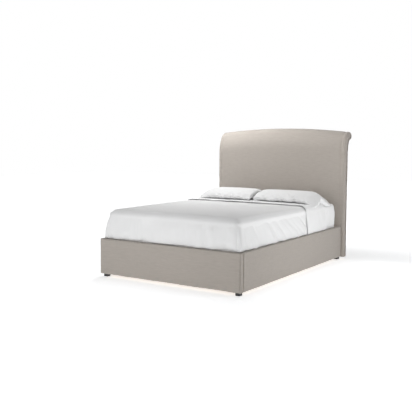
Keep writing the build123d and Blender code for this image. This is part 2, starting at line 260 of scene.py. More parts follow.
def upholstery_material():
    """Greige linen-look weave with horizontal slubs."""
    s = Shader("upholstery_linen", 0.92, Sheen_Weight=0.25, Sheen_Roughness=0.45)
    slub = s.noise(1.0, 3.0, 0.6, (14, 14, 260))
    thick = s.noise(1.0, 3.0, 0.55, (16, 16, 130))
    streaks = s.math("ADD", s.math("MULTIPLY", slub, 0.5), s.math("MULTIPLY", thick, 0.5))
    streaks = s.math("MULTIPLY_ADD", streaks, 1.8, -0.4)
    warp = s.noise(1.0, 2.0, 0.5, (300, 300, 10))
    mottled = s.noise(5.0, 3.0, 0.55)
    base = s.mix(streaks, (0.325, 0.290, 0.257), (0.455, 0.415, 0.375))
    base = s.mix(s.math("MULTIPLY", warp, 0.35), base, (0.49, 0.45, 0.41))
    base = s.mix(s.math("MULTIPLY", mottled, 0.25), base, (0.37, 0.335, 0.30))
    s.colour(base)
    s.bump((slub, 0.35, 0.0012), (thick, 0.3, 0.002), (s.threads(0.0024), 0.5, 0.0004))
    return s.material


def cotton_material(name, tone, pitch, crumple):
    """White woven cotton with faint crumples that stand for its ironed-out creases."""
    s = Shader(name, 0.85, Sheen_Weight=0.15, Sheen_Roughness=0.5)
    soft = s.noise(9.0, 4.0, 0.55)
    creases = s.noise(26.0, 5.0, 0.62)
    s.colour(s.mix(soft, tone, tuple(0.955 * share for share in tone)))
    s.bump((creases, crumple, 0.004), (s.threads(pitch), 0.3, 0.0002))
    return s.material


QUILT_PITCH = 0.12


def ticking_material():
    """Mattress ticking with a quilted diamond pattern."""
    s = Shader("ticking", 0.8, Sheen_Weight=0.2)
    split = s.add("ShaderNodeSeparateXYZ", {0: s.place})
    half_rate = pi / QUILT_PITCH
    total = s.math("ADD", s.math("ADD", split.outputs[0], split.outputs[1]), split.outputs[2])
    apart = s.math("SUBTRACT", split.outputs[0], s.math("ADD", split.outputs[1], split.outputs[2]))
    ridges = [s.math("ABSOLUTE", s.math("SINE", s.math("MULTIPLY", place, half_rate)))
              for place in (total, apart)]
    s.colour(s.mix(s.noise(60.0, 3.0), (0.86, 0.86, 0.84), (0.80, 0.80, 0.79)))
    s.bump((s.math("MULTIPLY", *ridges), 0.8, 0.006), (s.threads(0.0016), 0.3, 0.0003))
    return s.material


def wood_material(name, light, dark, grain, rings=1.0):
    """Planed timber; grain is the axis that the fibres run along."""
    s = Shader(name, 0.5, Coat_Weight=0.08, Coat_Roughness=0.4)
    stretch = [26.0, 26.0, 26.0]
    stretch["xyz".index(grain)] = 1.6
    fibre = s.noise(3.0 * rings, 5.0, 0.6, stretch)
    pores = s.noise(26.0, 3.0, 0.5, stretch)
    band = s.noise(0.35 * rings, 2.0, 0.5, stretch)
    tone = s.mix(fibre, light, dark)
    tone = s.mix(s.math("MULTIPLY", band, 0.45), tone, tuple(0.8 * share for share in dark))
    deep_pores = s.math("MULTIPLY", s.math("GREATER_THAN", pores, 0.62), 0.35)
    s.colour(s.mix(deep_pores, tone, tuple(0.6 * share for share in dark)))
    s.bump((fibre, 0.25, 0.0006), (pores, 0.2, 0.0002))
    return s.material


def plastic_material():
    """Moulded black plastic with a fine spark-eroded grain."""
    s = Shader("black_plastic", 0.5)
    grain = s.noise(900.0, 2.0)
    s.colour(s.mix(s.noise(30.0), (0.012, 0.012, 0.013), (0.03, 0.03, 0.031)))
    s.link(s.math("MULTIPLY_ADD", s.noise(70.0, 3.0), 0.25, 0.4), s.bsdf.inputs["Roughness"])
    s.bump((grain, 0.25, 0.0003))
    return s.material


def zinc_material():
    """Zinc-plated steel with a faint blue spangle."""
    s = Shader("zinc_steel", 0.35, Metallic=1.0)
    spangle = s.add("ShaderNodeTexVoronoi", {"Vector": s.place, "Scale": 160.0}).outputs["Color"]
    s.colour(s.mix(spangle, (0.62, 0.64, 0.67), (0.50, 0.51, 0.53)))
    s.link(s.math("MULTIPLY_ADD", s.noise(40.0, 3.0), 0.25, 0.25), s.bsdf.inputs["Roughness"])
    s.bump((s.noise(240.0, 2.0), 0.15, 0.0002))
    return s.material


def foam_material():
    """Open-cell cream foam."""
    s = Shader("foam", 0.95)
    cells = s.add("ShaderNodeTexVoronoi", {"Vector": s.place, "Scale": 420.0}).outputs["Distance"]
    s.colour(s.mix(cells, (0.70, 0.66, 0.50), (0.86, 0.83, 0.70)))
    s.bump((cells, 0.6, 0.0008))
    return s.material


def floor_material():
    """Plain pale floor that glows a little, and fully some way out from the bed."""
    s = Shader("studio_floor", 0.85)
    s.colour(s.mix(s.noise(2.0, 2.0), (0.90, 0.925, 0.945), (0.92, 0.94, 0.96)))
    far = s.add("ShaderNodeVectorMath", {0: s.place}, operation="LENGTH").outputs["Value"]
    glow = s.add("ShaderNodeMapRange", {"Value": far, "From Min": 1.6, "From Max": 4.5,
                                        "To Min": FLOOR_GLOW, "To Max": 1.05},
                 interpolation_type="SMOOTHSTEP").outputs[0]
    s.bsdf.inputs["Emission Color"].default_value = (1, 1, 1, 1)
    s.link(glow, s.bsdf.inputs["Emission Strength"])
    return s.material


upholstery = upholstery_material()
sheet_cotton = cotton_material("sheet_cotton", (0.87, 0.87, 0.87), 0.0009, 0.10)
coverlet_cotton = cotton_material("coverlet_cotton", (0.84, 0.84, 0.84), 0.0014, 0.14)
pillow_cotton = cotton_material("pillow_cotton", (0.80, 0.80, 0.80), 0.0009, 0.28)
ticking = ticking_material()
PINE = (0.76, 0.58, 0.38), (0.60, 0.41, 0.23)
pine_x = wood_material("pine_across", *PINE, "x")
pine_y = wood_material("pine_along", *PINE, "y")
pine_z = wood_material("pine_upright", *PINE, "z")
beech = wood_material("beech", (0.78, 0.60, 0.42), (0.66, 0.47, 0.31), "x", 1.6)
plywood = wood_material("plywood", (0.74, 0.60, 0.43), (0.62, 0.47, 0.32), "z", 0.7)
black_plastic = plastic_material()
zinc = zinc_material()
foam = foam_material()


FINISHES = (
    (pine_x, "*_rail foot_rail_board"),
    (pine_y, "side_rail_*_board ledger_* centre_beam"),
    (pine_z, "headboard_*rib* centre_leg_front centre_leg_rear"),
    (beech, "slats_*"),
    (plywood, "headboard_*_ply headboard_*_board"),
    (black_plastic, "foot_front_* foot_head_* slat_holders_* *_glide"),
    (zinc, "corner_brackets bracket_screws beam_hanger_* mattress_border_rods"),
    (foam, "headboard_foam"),
    (sheet_cotton, "mattress_pocket_springs"),
)


def finish_nodes():
    """Gives the CAD nodes that stay visible their materials, by patterns of their names."""
    for material, patterns in FINISHES:
        for pattern in patterns.split():
            for name in fnmatch.filter(nodes, pattern):
                nodes[name].data.materials.clear()
                nodes[name].data.materials.append(material)


finish_nodes()


# ---- headboard upholstery -----------------------------------------------------------------
cover_low, cover_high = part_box("headboard_cover_front")
HEAD_FRONT = cover_low.y
HEAD_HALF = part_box("headboard_gusset_right")[1].x
HEAD_FOOT = cover_low.z
HEAD_TOP = cover_high.z
ARCH_RISE = 0.043  # the top edge's middle above its ends
ARCH_RADIUS = (HEAD_HALF ** 2 + ARCH_RISE ** 2) / (2 * ARCH_RISE)
ARCH_CENTRE = HEAD_TOP - ARCH_RADIUS
HEAD_DEPTH = 0.072  # the padded board's thickness, from LEAN_TOP up
BASE_DEPTH = 0.050  # its thickness at the floor
LEAN_TOP = 1.0  # height above which the back stands parallel to the front
LOWER_BEND = 0.300  # radius of the front's first, gentle bend backwards
LOWER_ANGLE = math.radians(32)
UPPER_BEND = 0.110  # radius of the second bend, over the top
NOSE = HEAD_DEPTH / 2
CREST_Y = LOWER_BEND * (1 - math.cos(LOWER_ANGLE)) + UPPER_BEND * math.cos(LOWER_ANGLE)
BEND_START = HEAD_TOP - LOWER_BEND * math.sin(LOWER_ANGLE) - UPPER_BEND * (1 - math.sin(LOWER_ANGLE))
SEAM_ROLL = 0.012  # radius of the rolled edge between the front and the side band
UPRIGHT_ROWS, BEND_ROWS, NOSE_ROWS = 120, 26, 12
FRONT_ROWS = UPRIGHT_ROWS + 1 + 2 * BEND_ROWS
COVER = upholstery, "bed_frame", "upholstery"
COVER_CLOTH, BAND_CLOTH = 0.0016, 0.0014  # thickness of the covers and of the side bands
EDGE_STRIP = 0.09  # strip beside each edge that is divided finely for its puckers
PUCKER_LINE = 0.020  # the puckers' and the groove's distances from the edge
GROOVE_LINE = 0.042
COVER_STAND = 0.0046  # how far the covers stand out of their CAD solids


def scroll_arcs(inset):
    """Both bends of the front curve, this far inside the front face: (y, z) without their start."""
    low = np.linspace(0, LOWER_ANGLE, BEND_ROWS + 1)[1:]
    high = np.linspace(LOWER_ANGLE, pi / 2, BEND_ROWS + 1)[1:]
    lower, upper = LOWER_BEND - inset, UPPER_BEND - inset
    y = np.concatenate([LOWER_BEND - lower * np.cos(low), CREST_Y - upper * np.cos(high)])
    z = np.concatenate([BEND_START + lower * np.sin(low), HEAD_TOP - UPPER_BEND + upper * np.sin(high)])
    return y, z


def arched(x, z):
    """The height at x of a point whose height on the middle line is z."""
    radius = z - ARCH_CENTRE
    return ARCH_CENTRE + np.sqrt(radius ** 2 - x ** 2)


def head_loop(x, inset):
    """Points round the headboard at x, this far inside its outline: up the front, round the nose and
    down the back. The same number of rows lies on the front and on the back."""
    rise = np.linspace(HEAD_FOOT, arched(x, BEND_START), UPRIGHT_ROWS + 1)
    lean = np.clip(LEAN_TOP - rise, 0, None) * (HEAD_DEPTH - BASE_DEPTH) / (LEAN_TOP - HEAD_FOOT)
    front_y, front_z = scroll_arcs(inset)
    back_y, back_z = scroll_arcs(HEAD_DEPTH - inset)
    turn = np.linspace(pi / 2, -pi / 2, NOSE_ROWS + 1)[1:-1]
    nose = NOSE - inset
    y = np.concatenate([np.full_like(rise, inset), front_y, CREST_Y + nose * np.cos(turn), back_y[::-1],
                        (HEAD_DEPTH - inset - lean)[::-1]])
    scroll_z = np.concatenate([front_z, HEAD_TOP - NOSE + nose * np.sin(turn), back_z[::-1]])
    z = np.concatenate([rise, arched(x, scroll_z), rise[::-1]])
    return np.stack([np.full_like(y, x), HEAD_FRONT + y, z], axis=-1)


def head_columns():
    """x and inset of each column: flat across the middle, rolled over at both ends."""
    turn = np.linspace(0, pi / 2, 8)
    inner = HEAD_HALF - SEAM_ROLL
    strip = np.linspace(inner - EDGE_STRIP, inner, 26)[:-1]
    middle = np.linspace(EDGE_STRIP - inner, inner - EDGE_STRIP, 110)[1:-1]
    right = np.concatenate([strip, inner + SEAM_ROLL * np.sin(turn)])
    inset = np.concatenate([np.zeros(len(strip)), SEAM_ROLL * (1 - np.cos(turn))])
    return (np.concatenate([-right[::-1], middle, right]),
            np.concatenate([inset[::-1], np.zeros(len(middle)), inset]))


def headboard_covers():
    """Front and back cover, puckered along their rolled edges with a groove beside the puckers."""
    columns, inset = head_columns()
    grid = np.stack([head_loop(*column) for column in zip(columns, inset)], axis=1)
    x = grid[..., 0]
    edge = HEAD_HALF - np.abs(x) + inset
    along = run_length(head_loop(0.0, 0.0))[:, None] * np.ones(len(columns))
    puckers = waves(along, np.sign(x), (0.6, 0.011, 0.4, 3), (1.0, 0.023, 0.4, 8))
    lift = 0.0024 * (1 + puckers) * np.exp(-np.abs(edge - PUCKER_LINE) / 0.014)
    lift += COVER_STAND - 0.0040 * bump(edge, GROOVE_LINE, 0.008) - 0.0030 * ease(-edge, -SEAM_ROLL, 0)
    lift += waves(x, along, (0.0010, 0.30, 0.22, 5), (0.0003, 0.05, 0.03, 6))
    grid = grid - grid_normals(grid) * lift[..., None]
    back_start = FRONT_ROWS + NOSE_ROWS - 1
    front = grid_mesh("headboard_front_upholstery", grid[:back_start + 2])
    finish_padded(front, COVER, 0.9, COVER_CLOTH, "headboard_cover_front")
    back = grid_mesh("headboard_back_upholstery", grid[back_start:])
    finish_padded(back, COVER, 0.8, COVER_CLOTH, "headboard_cover_back")


def headboard_side_band(name, sign):
    """The band between the covers, made of rings that shrink towards the middle of the thickness."""
    insets = np.linspace(SEAM_ROLL - 0.0015, NOSE - 0.0004, 9)
    band = np.stack([head_loop(sign * HEAD_HALF, inset) for inset in insets], axis=1)
    # the base is thinner than the scroll, so there the two halves meet before the last ring
    middle = (band[..., 1] + band[::-1, :, 1]) / 2
    upright = UPRIGHT_ROWS + 1
    band[:upright, :, 1] = np.minimum(band[:upright, :, 1], middle[:upright])
    band[-upright:, :, 1] = np.maximum(band[-upright:, :, 1], middle[-upright:])
    inward = insets - insets[0]
    along = run_length(head_loop(sign * HEAD_HALF, 0.0))[:, None]
    out = waves(along, inward, (0.0012, 0.013, 0.02, 12 + sign)) * np.exp(-inward / 0.008)
    out += 0.0015 * ease(inward, 0, 0.010) - 0.0008
    band[..., 0] += sign * out
    piece = grid_mesh(f"headboard_side_band_{name}", band, flip=sign < 0)
    finish_padded(piece, COVER, 0.8, BAND_CLOTH, f"headboard_gusset_{name}")


headboard_covers()
headboard_side_band("left", -1)
headboard_side_band("right", 1)


# ---- rail upholstery ----------------------------------------------------------------------
RAIL_ROLL = 0.010  # radius of the cover's outer edges
LIP_ROLL = 0.7 * RAIL_ROLL  # radius of its inner top edge
LIP_DEPTH = 0.050  # how far the cover runs down the inside
RAIL_END_ROLL = 0.006  # how far a side rail's ends roll in
FOOT_END_ROLL = 0.008  # radius of the foot rail's two upright edges
FOOT_JOINT = 0.0022  # gap between the side rails' covers and the foot rail's
HEAD_JOINT = 0.0004  # gap between the side rails' covers and the headboard


def rail_profile(thickness, low, high):
    """Outline of a rail cover as (distance in from the outer face, height): from the underside out,
    up the outer face, over the top and down the inside to its lip."""
    roll = RAIL_ROLL
    return divided([(thickness * 0.8, low), (roll, low)]
                   + arc((roll, low + roll), roll, 270, 180, 9)
                   + arc((roll, high - roll), roll, 180, 90, 9)
                   + arc((thickness - LIP_ROLL, high - LIP_ROLL), LIP_ROLL, 90, 0, 9)
                   + [(thickness, high - LIP_DEPTH)], 0.006)


def rail_lift(along, height, inward, low, high, ends, seed):
    """How far the padded face stands proud: a soft crown, slow waves and tucks near both ends.
    inward is the distance in from the outer face, as a share of the rail's thickness."""
    share = np.clip((height - low.z) / (high.z - low.z), 0, 1)
    lift = 0.0008 + 0.0022 * np.sin(pi * share)
    lift = lift + waves(along, height, (0.0008, 0.24, 0.16, seed))
    tucks = waves(along, height, (0.0010, 0.05, 0.017, seed + 1))
    for end in ends:
        lift = lift + tucks * np.exp(-np.abs(along - end) / 0.02)
    return lift * ease(-inward, -0.5, -0.2)


def side_rail(name, sign):
    """A side rail's cover, both of its ends rolled in."""
    low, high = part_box(f"side_rail_{name}_cover")
    outside = high.x if sign > 0 else low.x
    thickness = high.x - low.x
    across, height = rail_profile(thickness, low.z, high.z).T
    start, end = low.y + FOOT_JOINT, high.y - HEAD_JOINT
    turn = np.linspace(0, pi / 2, 6)
    short = RAIL_END_ROLL * (1 - np.sin(turn))
    body = np.linspace(start + RAIL_END_ROLL, end - RAIL_END_ROLL, 260)[1:-1]
    y = np.concatenate([start + short[::-1], body, end - short])
    pull = RAIL_END_ROLL * (1 - np.cos(turn))
    pull = np.concatenate([pull[::-1], np.zeros(len(body)), pull])
    inward = np.where(across < thickness * 0.5, 1, -1)
    upward = np.where(height < low.z + RAIL_ROLL, 1, 0) - np.where(height > high.z - RAIL_ROLL, 1, 0)
    u = across[:, None] + inward[:, None] * pull
    z = height[:, None] + upward[:, None] * pull
    y, _ = np.broadcast_arrays(y, z)
    lift = rail_lift(y, z, u / thickness, low, high, (start, end), 20 + sign)
    grid = np.stack([outside - sign * u + sign * lift, y, z], axis=-1)
    piece = grid_mesh(f"side_rail_{name}_upholstery", grid, flip=sign < 0)
    finish_padded(piece, COVER, 0.9, COVER_CLOTH, f"side_rail_{name}_cover", f"side_rail_{name}_pad")


def foot_rail():
    """The foot rail's cover between its two ends."""
    low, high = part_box("foot_rail_cover")
    thickness = high.y - low.y
    half = high.x
    profile = rail_profile(thickness, low.z, high.z)
    x = np.linspace(FOOT_END_ROLL - half, half - FOOT_END_ROLL, 190)
    x, u, z = np.broadcast_arrays(x, profile[:, :1], profile[:, 1:])
    lift = rail_lift(x, z, u / thickness, low, high, (-half, half), 31)
    lift = lift * (1 - 0.9 * bump(half - np.abs(x), 0.034, 0.006))
    piece = grid_mesh("foot_rail_upholstery", np.stack([x, low.y + u - lift, z], axis=-1))
    finish_padded(piece, COVER, 0.9, COVER_CLOTH, "foot_rail_cover", "foot_rail_pad")


def foot_rail_end(name, sign):
    """A rounded panel whose rim rolls into the rail's front, top, back and underside."""
    low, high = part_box("foot_rail_cover")
    thickness = high.y - low.y
    half = high.x
    roll, inner_roll = RAIL_ROLL, 0.7 * FOOT_END_ROLL
    outline = (arc((thickness - inner_roll, low.z + inner_roll), inner_roll, -90, 0, 7)
               + arc((thickness - inner_roll, high.z - FOOT_END_ROLL), inner_roll, 0, 90, 7)
               + arc((roll, high.z - roll), roll, 90, 180, 7)
               + arc((roll, low.z + roll), roll, 180, 270, 7))
    across, height = divided(outline + outline[:1], 0.008).T
    turn = np.linspace(0, pi / 2, 8)
    steps = np.arange(1, 4)
    out = np.concatenate([half - FOOT_END_ROLL + FOOT_END_ROLL * np.sin(turn), half + 0.0005 * steps])
    inset = np.concatenate([FOOT_END_ROLL * (1 - np.cos(turn)), FOOT_END_ROLL + 0.003 * steps])[:, None]
    y = low.y + np.clip(across, inset, thickness - inset)
    z = np.clip(height, low.z + inset, high.z - inset)
    x = np.broadcast_to(sign * out[:, None], z.shape)
    cap = np.stack([x, y, z], axis=-1)
    closing = cap[-1:].copy()
    closing[..., :2] = sign * (half + 0.002), low.y + thickness / 2
    closing[..., 2] = np.clip(closing[..., 2], low.z + thickness / 2, high.z - thickness / 2)
    cap = np.concatenate([cap, closing])
    cap[..., 0] += sign * waves(cap[..., 2], cap[..., 1], (0.0006, 0.016, 0.03, 40 + sign))
    piece = grid_mesh(f"foot_rail_end_{name}", cap, flip=sign < 0)
    finish_padded(piece, COVER, 0.9, None)


side_rail("left", -1)
side_rail("right", 1)
foot_rail()
foot_rail_end("left", -1)
foot_rail_end("right", 1)


# ---- mattress -----------------------------------------------------------------------------
TICKED = ticking, "mattress", "ticking"
TICKING = 0.002  # thickness of the ticking
MATTRESS_LOW, MATTRESS_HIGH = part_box("mattress_border")
MIDDLE = (MATTRESS_LOW + MATTRESS_HIGH) / 2
HALF_X, HALF_Y = MATTRESS_HIGH.x - MIDDLE.x, MATTRESS_HIGH.y - MIDDLE.y
BORDER_INSET = 0.004  # the border's corners and edges, in from the CAD solid
PANEL_INSET = 0.006  # the same for the top and base panels and their tapes
BORDER_CORNER, TAPE_CORNER, PANEL_CORNER = 0.050, 0.048, 0.045
TAPE_RADIUS = 0.0045
TUFT_PITCH = 0.15  # between the panels' quilted lines
RING_STEP = 0.02  # between points along the mattress's straight sides


def mattress_ring(name, inset, radius, out, heights):
    """Closed rings round the mattress, at the given heights; out gives from the distance round the
    mattress how far each point stands out of its rounded outline."""
    half = np.array([HALF_X, HALF_Y]) - inset - radius
    outline = []
    for side, end, first in ((1, -1, -90), (1, 1, 0), (-1, 1, 90), (-1, -1, 180)):
        outline += arc(half * (side, end), radius, first, first + 90, 9)
    outline = divided(outline + outline[:1], RING_STEP)
    normal = unit(outline - np.clip(outline, -half, half))
    wall = outline + normal * out(run_length(outline))[..., None] + np.array(MIDDLE.xy)
    grid = np.concatenate([wall, np.broadcast_to(heights[:, None, None], wall.shape[:2] + (1,))], axis=-1)
    grid[:, -1] = grid[:, 0]
    return grid_mesh(name, grid)


def mattress_border():
    """The border, quilted in three channels."""
    heights = np.linspace(MATTRESS_LOW.z + BORDER_INSET, MATTRESS_HIGH.z - BORDER_INSET, 15)
    share = ((heights - heights[0]) / (heights[-1] - heights[0]))[:, None]
    puff = 0.0035 * np.sqrt(np.clip(np.sin(pi * share), 0, 1))
    channels = 0.0012 * np.cos(2 * pi * share * 3) + 0.0012
    piece = mattress_ring(
        "mattress_border_ticking", BORDER_INSET, BORDER_CORNER,
        lambda along: puff - channels + waves(along, heights[:, None], (0.0006, 0.09, 0.05, 51)), heights)
    finish_padded(piece, TICKED, 0.8, TICKING, "mattress_border")


def mattress_panel(name, level, sign):
    """A quilted panel with rounded corners, sunk towards its stitching."""
    end_x, end_y = HALF_X - PANEL_INSET, HALF_Y - PANEL_INSET
    x, y = np.meshgrid(np.linspace(-end_x, end_x, 91), np.linspace(-end_y, end_y, 128))
    inner_x, inner_y = end_x - PANEL_CORNER, end_y - PANEL_CORNER
    over_x = np.maximum(np.abs(x) - inner_x, 0)
    over_y = np.maximum(np.abs(y) - inner_y, 0)
    shrink = np.maximum(over_x, over_y) / np.maximum(np.hypot(over_x, over_y), 1e-9)
    x = np.sign(x) * (np.minimum(np.abs(x), inner_x) + over_x * shrink)
    y = np.sign(y) * (np.minimum(np.abs(y), inner_y) + over_y * shrink)
    quilt = np.abs(np.sin(pi * (x + y) / TUFT_PITCH) * np.sin(pi * (x - y) / TUFT_PITCH))
    rim = np.minimum(HALF_X - np.abs(x), HALF_Y - np.abs(y))
    depth = 0.0055 * (1 - np.sqrt(quilt)) + 0.003 * np.exp(-rim / 0.012)
    panel = np.stack([x + MIDDLE.x, y + MIDDLE.y, level - sign * depth], axis=-1)
    piece = grid_mesh(f"mattress_{name}_ticking", panel, flip=sign < 0)
    finish_padded(piece, TICKED, 0.8, TICKING, f"mattress_{name}_panel")


def mattress_tape(name, level, sign):
    """The round tape over a panel's seam."""
    turn = np.linspace(0, 2 * pi, 11)
    piece = mattress_ring(f"mattress_{name}_tape", PANEL_INSET, TAPE_CORNER,
                          lambda along: TAPE_RADIUS * np.cos(turn)[:, None],
                          level - sign * PANEL_INSET + TAPE_RADIUS * np.sin(turn))
    finish_padded(piece, TICKED, 1.0, None)


mattress_border()
for panel_name, panel_level, panel_side in (("top", MATTRESS_HIGH.z, 1), ("base", MATTRESS_LOW.z, -1)):
    mattress_panel(panel_name, panel_level, panel_side)
    mattress_tape(panel_name, panel_level, panel_side)


# ---- sheet and coverlet -------------------------------------------------------------------
def crown(x):
    """How much higher than its sides the bed is at x."""
    return CROWN * np.cos(np.clip(x / CROWN_HALF, -1, 1) * pi / 2)


class Drape:
    """Cloth laid over a block: flat on top, rounded over the edges, hanging down to its hem and
    turned in there. Cloth coordinates are x and y as they would be on an endless flat top."""

    def __init__(self, half_x, foot, head, top, hem, round_out, round_down, flare, tuck, crowned=True):
        self.inner_x = half_x - flare - round_out
        self.inner_foot = foot + flare + round_out
        self.inner_head = head - flare - round_out
        self.top = top
        self.crowned = crowned
        straight = top - hem - tuck
        over = np.linspace(0, pi / 2, 25)
        wall = np.linspace(0, 1, 30)[1:]
        turn = np.linspace(0, pi / 2, 9)[1:]
        self.out = np.concatenate([round_out * np.sin(over), round_out + flare * np.sin(wall * pi / 2),
                                   round_out + flare - tuck + tuck * np.cos(turn)])
        self.drop = np.concatenate([round_down * (1 - np.cos(over)),
                                    round_down + (straight - round_down) * wall,
                                    straight + tuck * np.sin(turn)])
        self.length = run_length(np.stack([self.out, self.drop], axis=-1))
        self.reach = self.length[-1]
        self.width = 2 * (self.inner_x + self.reach)

    def grid(self, fine, coarse, *lengthwise):
        """Cloth x and y: x from hem to hem, fine over the edges and down the sides and coarser
        between, and y over the given spans."""
        side = np.linspace(self.inner_x, self.inner_x + self.reach, int(self.reach / fine))
        middle = np.linspace(-self.inner_x, self.inner_x, int(2 * self.inner_x / coarse))
        return np.meshgrid(np.concatenate([-side[::-1], middle[1:-1], side]), spans(*lengthwise))

    def place(self, u, v):
        """Positions of cloth points, and how far each is round an edge."""
        over_x = np.maximum(np.abs(u) - self.inner_x, 0)
        over_head = np.maximum(v - self.inner_head, 0)
        over_y = np.maximum(self.inner_foot - v, 0) + over_head
        most = np.maximum(over_x, over_y)
        # near the top a row of the cloth runs round the corner, and further down it hangs level
        level = ease(most, 0.06, 0.2)
        run = most * level + np.hypot(over_x, over_y) * (1 - level)
        angle = pi / 2 * np.clip(over_y / np.maximum(over_x + over_y, 1e-9), 0, 0.999999)
        # the corner is a quarter circle at its top and nearly square lower down
        square = 2 + 12 * ease(run, 0.06, 0.24)
        spread = (np.cos(angle) ** square + np.sin(angle) ** square) ** (-1 / square)
        out = np.interp(run, self.length, self.out) * spread
        x = np.clip(u, -self.inner_x, self.inner_x) + np.sign(u) * out * np.cos(angle)
        along = np.where(over_head > 0, 1, -1)
        y = np.clip(v, self.inner_foot, self.inner_head) + along * out * np.sin(angle)
        z = self.top - np.interp(run, self.length, self.drop) + self.crowned * crown(x)
        return np.stack([x, y, z], axis=-1), run


def quilted_shell(name, outer, inner):
    """A closed mesh from two grids of the same size, joined along their four edges."""
    index = np.arange(outer[..., 0].size).reshape(outer.shape[:2])
    quads = grid_quads(index)
    rim = np.concatenate([index[0], index[1:, -1], index[-1, ::-1][1:], index[::-1, 0][1:]])
    strip = np.stack([rim[1:], rim[:-1], rim[:-1] + index.size, rim[1:] + index.size], -1)
    faces = np.concatenate([quads, quads[:, ::-1] + index.size, strip])
    points = np.concatenate([outer.reshape(-1, 3), inner.reshape(-1, 3)])
    mesh = bpy.data.meshes.new(name)
    mesh.from_pydata(points.tolist(), [], faces.tolist())
    mesh.validate()
    made = bmesh.new()
    made.from_mesh(mesh)
    bmesh.ops.remove_doubles(made, verts=made.verts, dist=1e-5)
    bmesh.ops.recalc_face_normals(made, faces=made.faces)
    made.to_mesh(mesh)
    made.free()
    return as_piece(name, mesh)


COVER_LOW, COVER_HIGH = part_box("coverlet")
FOLD_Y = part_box("top_sheet")[1].y  # where the flat sheet folds back, near the pillows
TURNED_HEM = HEAD_FRONT - 0.770  # the turned-back sheet's hem, facing the foot of the bed
RAIL_LINE = 0.336  # height from which the bedding shows above the rails
FITTED_ROLL, FITTED_TUCK = 0.030, 0.004  # radius over the mattress's edge, turn at the hem
FITTED_SKIRT = 0.012  # how far the fitted sheet reaches below its CAD solid
SHEET_CLOTH, TURNED_CLOTH = 0.0012, 0.0009  # thickness of the two sheets
COVERLET_LOFT = 0.014
HEM_LOFT = 0.003  # the coverlet's thickness at its hem
COVERLET_TOP = 0.600  # height of its face at the sides
CROWN = 0.004  # the bed's middle above its sides
CROWN_HALF = 0.62  # distance from the middle at which the crown ends
HEM_DROP = 0.0025  # the hems settle this far below their CAD solids, just above the rails
TURNED_LIFT = 0.0045  # the turned-back sheet's face above the coverlet
FOLD_RADIUS, HEM_RADIUS = 0.0095, 0.0030  # of the turned-back sheet
FLARE, TUCK = 0.022, 0.005  # how far coverlet and turned-back sheet stand out and turn in at the hem
FINE = 0.0070  # cell size where these two fold
DIAGONAL = math.radians(36)
DIAGONAL_X, DIAGONAL_Y = 0.219, -0.173  # a point of the long crease across the top
# where each fold meets the top edge, how far it leans to the head per metre down, and its depth
SIDE_CREASES = ((-1.005, 0.10, 0.0070), (-0.950, 0.30, 0.0063), (-0.87, 0.60, 0.0070),
                (-0.74, 0.75, 0.0056), (-0.60, 0.80, 0.0056), (-0.47, 0.85, 0.0042),
                (-0.30, 0.95, 0.00532), (-0.16, 1.05, 0.0042), (-0.054, 1.15, 0.0049))
# where the foot hem stands back from the rail, how wide, and how far
FOOT_GAPS = ((-0.62, 0.03, 0.010), (-0.45, 0.045, 0.012), (-0.28, 0.04, 0.010), (0.59, 0.09, 0.013))
CORNER_PLEATS = ((0.30, 0.0080), (0.62, 0.0095), (1.15, 0.0065))  # angle round the corner, depth


def fitted_sheet():
    """The sheet stretched over the mattress, wrinkled where it shows near the headboard."""
    low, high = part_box("fitted_sheet")
    drape = Drape(high.x, low.y, high.y, high.z, low.z - FITTED_SKIRT, FITTED_ROLL, FITTED_ROLL, 0.0,
                  FITTED_TUCK, crowned=False)
    foot, head, reach = drape.inner_foot, drape.inner_head, drape.reach
    u, v = drape.grid(0.008, 0.018, (foot - reach, foot, int(reach / 0.010)), (foot, 0.1, 40),
                      (0.1, head, 80), (head, head + reach, int(reach / 0.008)))
    points, run = drape.place(u, v)
    x, y, z = np.moveaxis(points, -1, 0)
    drop = high.z - z
    above_rail = ease(z, RAIL_LINE, 0.37)
    head_part = ease(y, 0.10, 0.22)
    belly = 0.0105 * above_rail * np.sin(pi * np.clip(drop / 0.24, 0, 1)) ** 0.7
    past_fold = ease(y, FOLD_Y + 0.002, FOLD_Y + 0.05)
    lift = belly * past_fold * ease(np.abs(x), 0.60, 0.67) * (1 - ease(y, 0.84, 0.853))
    pull = waves(y + 0.35 * drop, drop, (0.0085, 0.024, 0.35, 61 + (x > 0) * 5))
    near_head = ease(y, 0.52, 0.75) * ease(np.abs(x), 0.62, 0.67)
    lift += pull * near_head * above_rail * ease(drop, 0.005, 0.06)
    lift += waves(y + 0.2 * drop, drop, (0.0012, 0.09, 0.3, 63)) * head_part * ease(drop, 0.0, 0.05)
    top_part = 1 - ease(drop, 0.0, 0.03)
    lift += waves(x + 0.3 * y, y, (0.0010, 0.12, 0.05, 66)) * top_part * head_part
    lift += waves(x + y, run, (0.0008, 0.012, 0.2, 64)) * (1 - ease(z, 0.328, 0.345))
    piece = grid_mesh("fitted_sheet_cloth", points - grid_normals(points) * lift[..., None])
    solidify(piece, SHEET_CLOTH)
    dress(piece, sheet_cotton, "mattress", "sheet_cotton", "fitted_sheet")


def crease(value, centre, width, steep=2.5):
    """A fold line: a sharp valley with one steep side and one long one."""
    apart = (value - centre) / width
    return np.where(apart < 0, np.exp(apart), np.exp(-apart * steep))


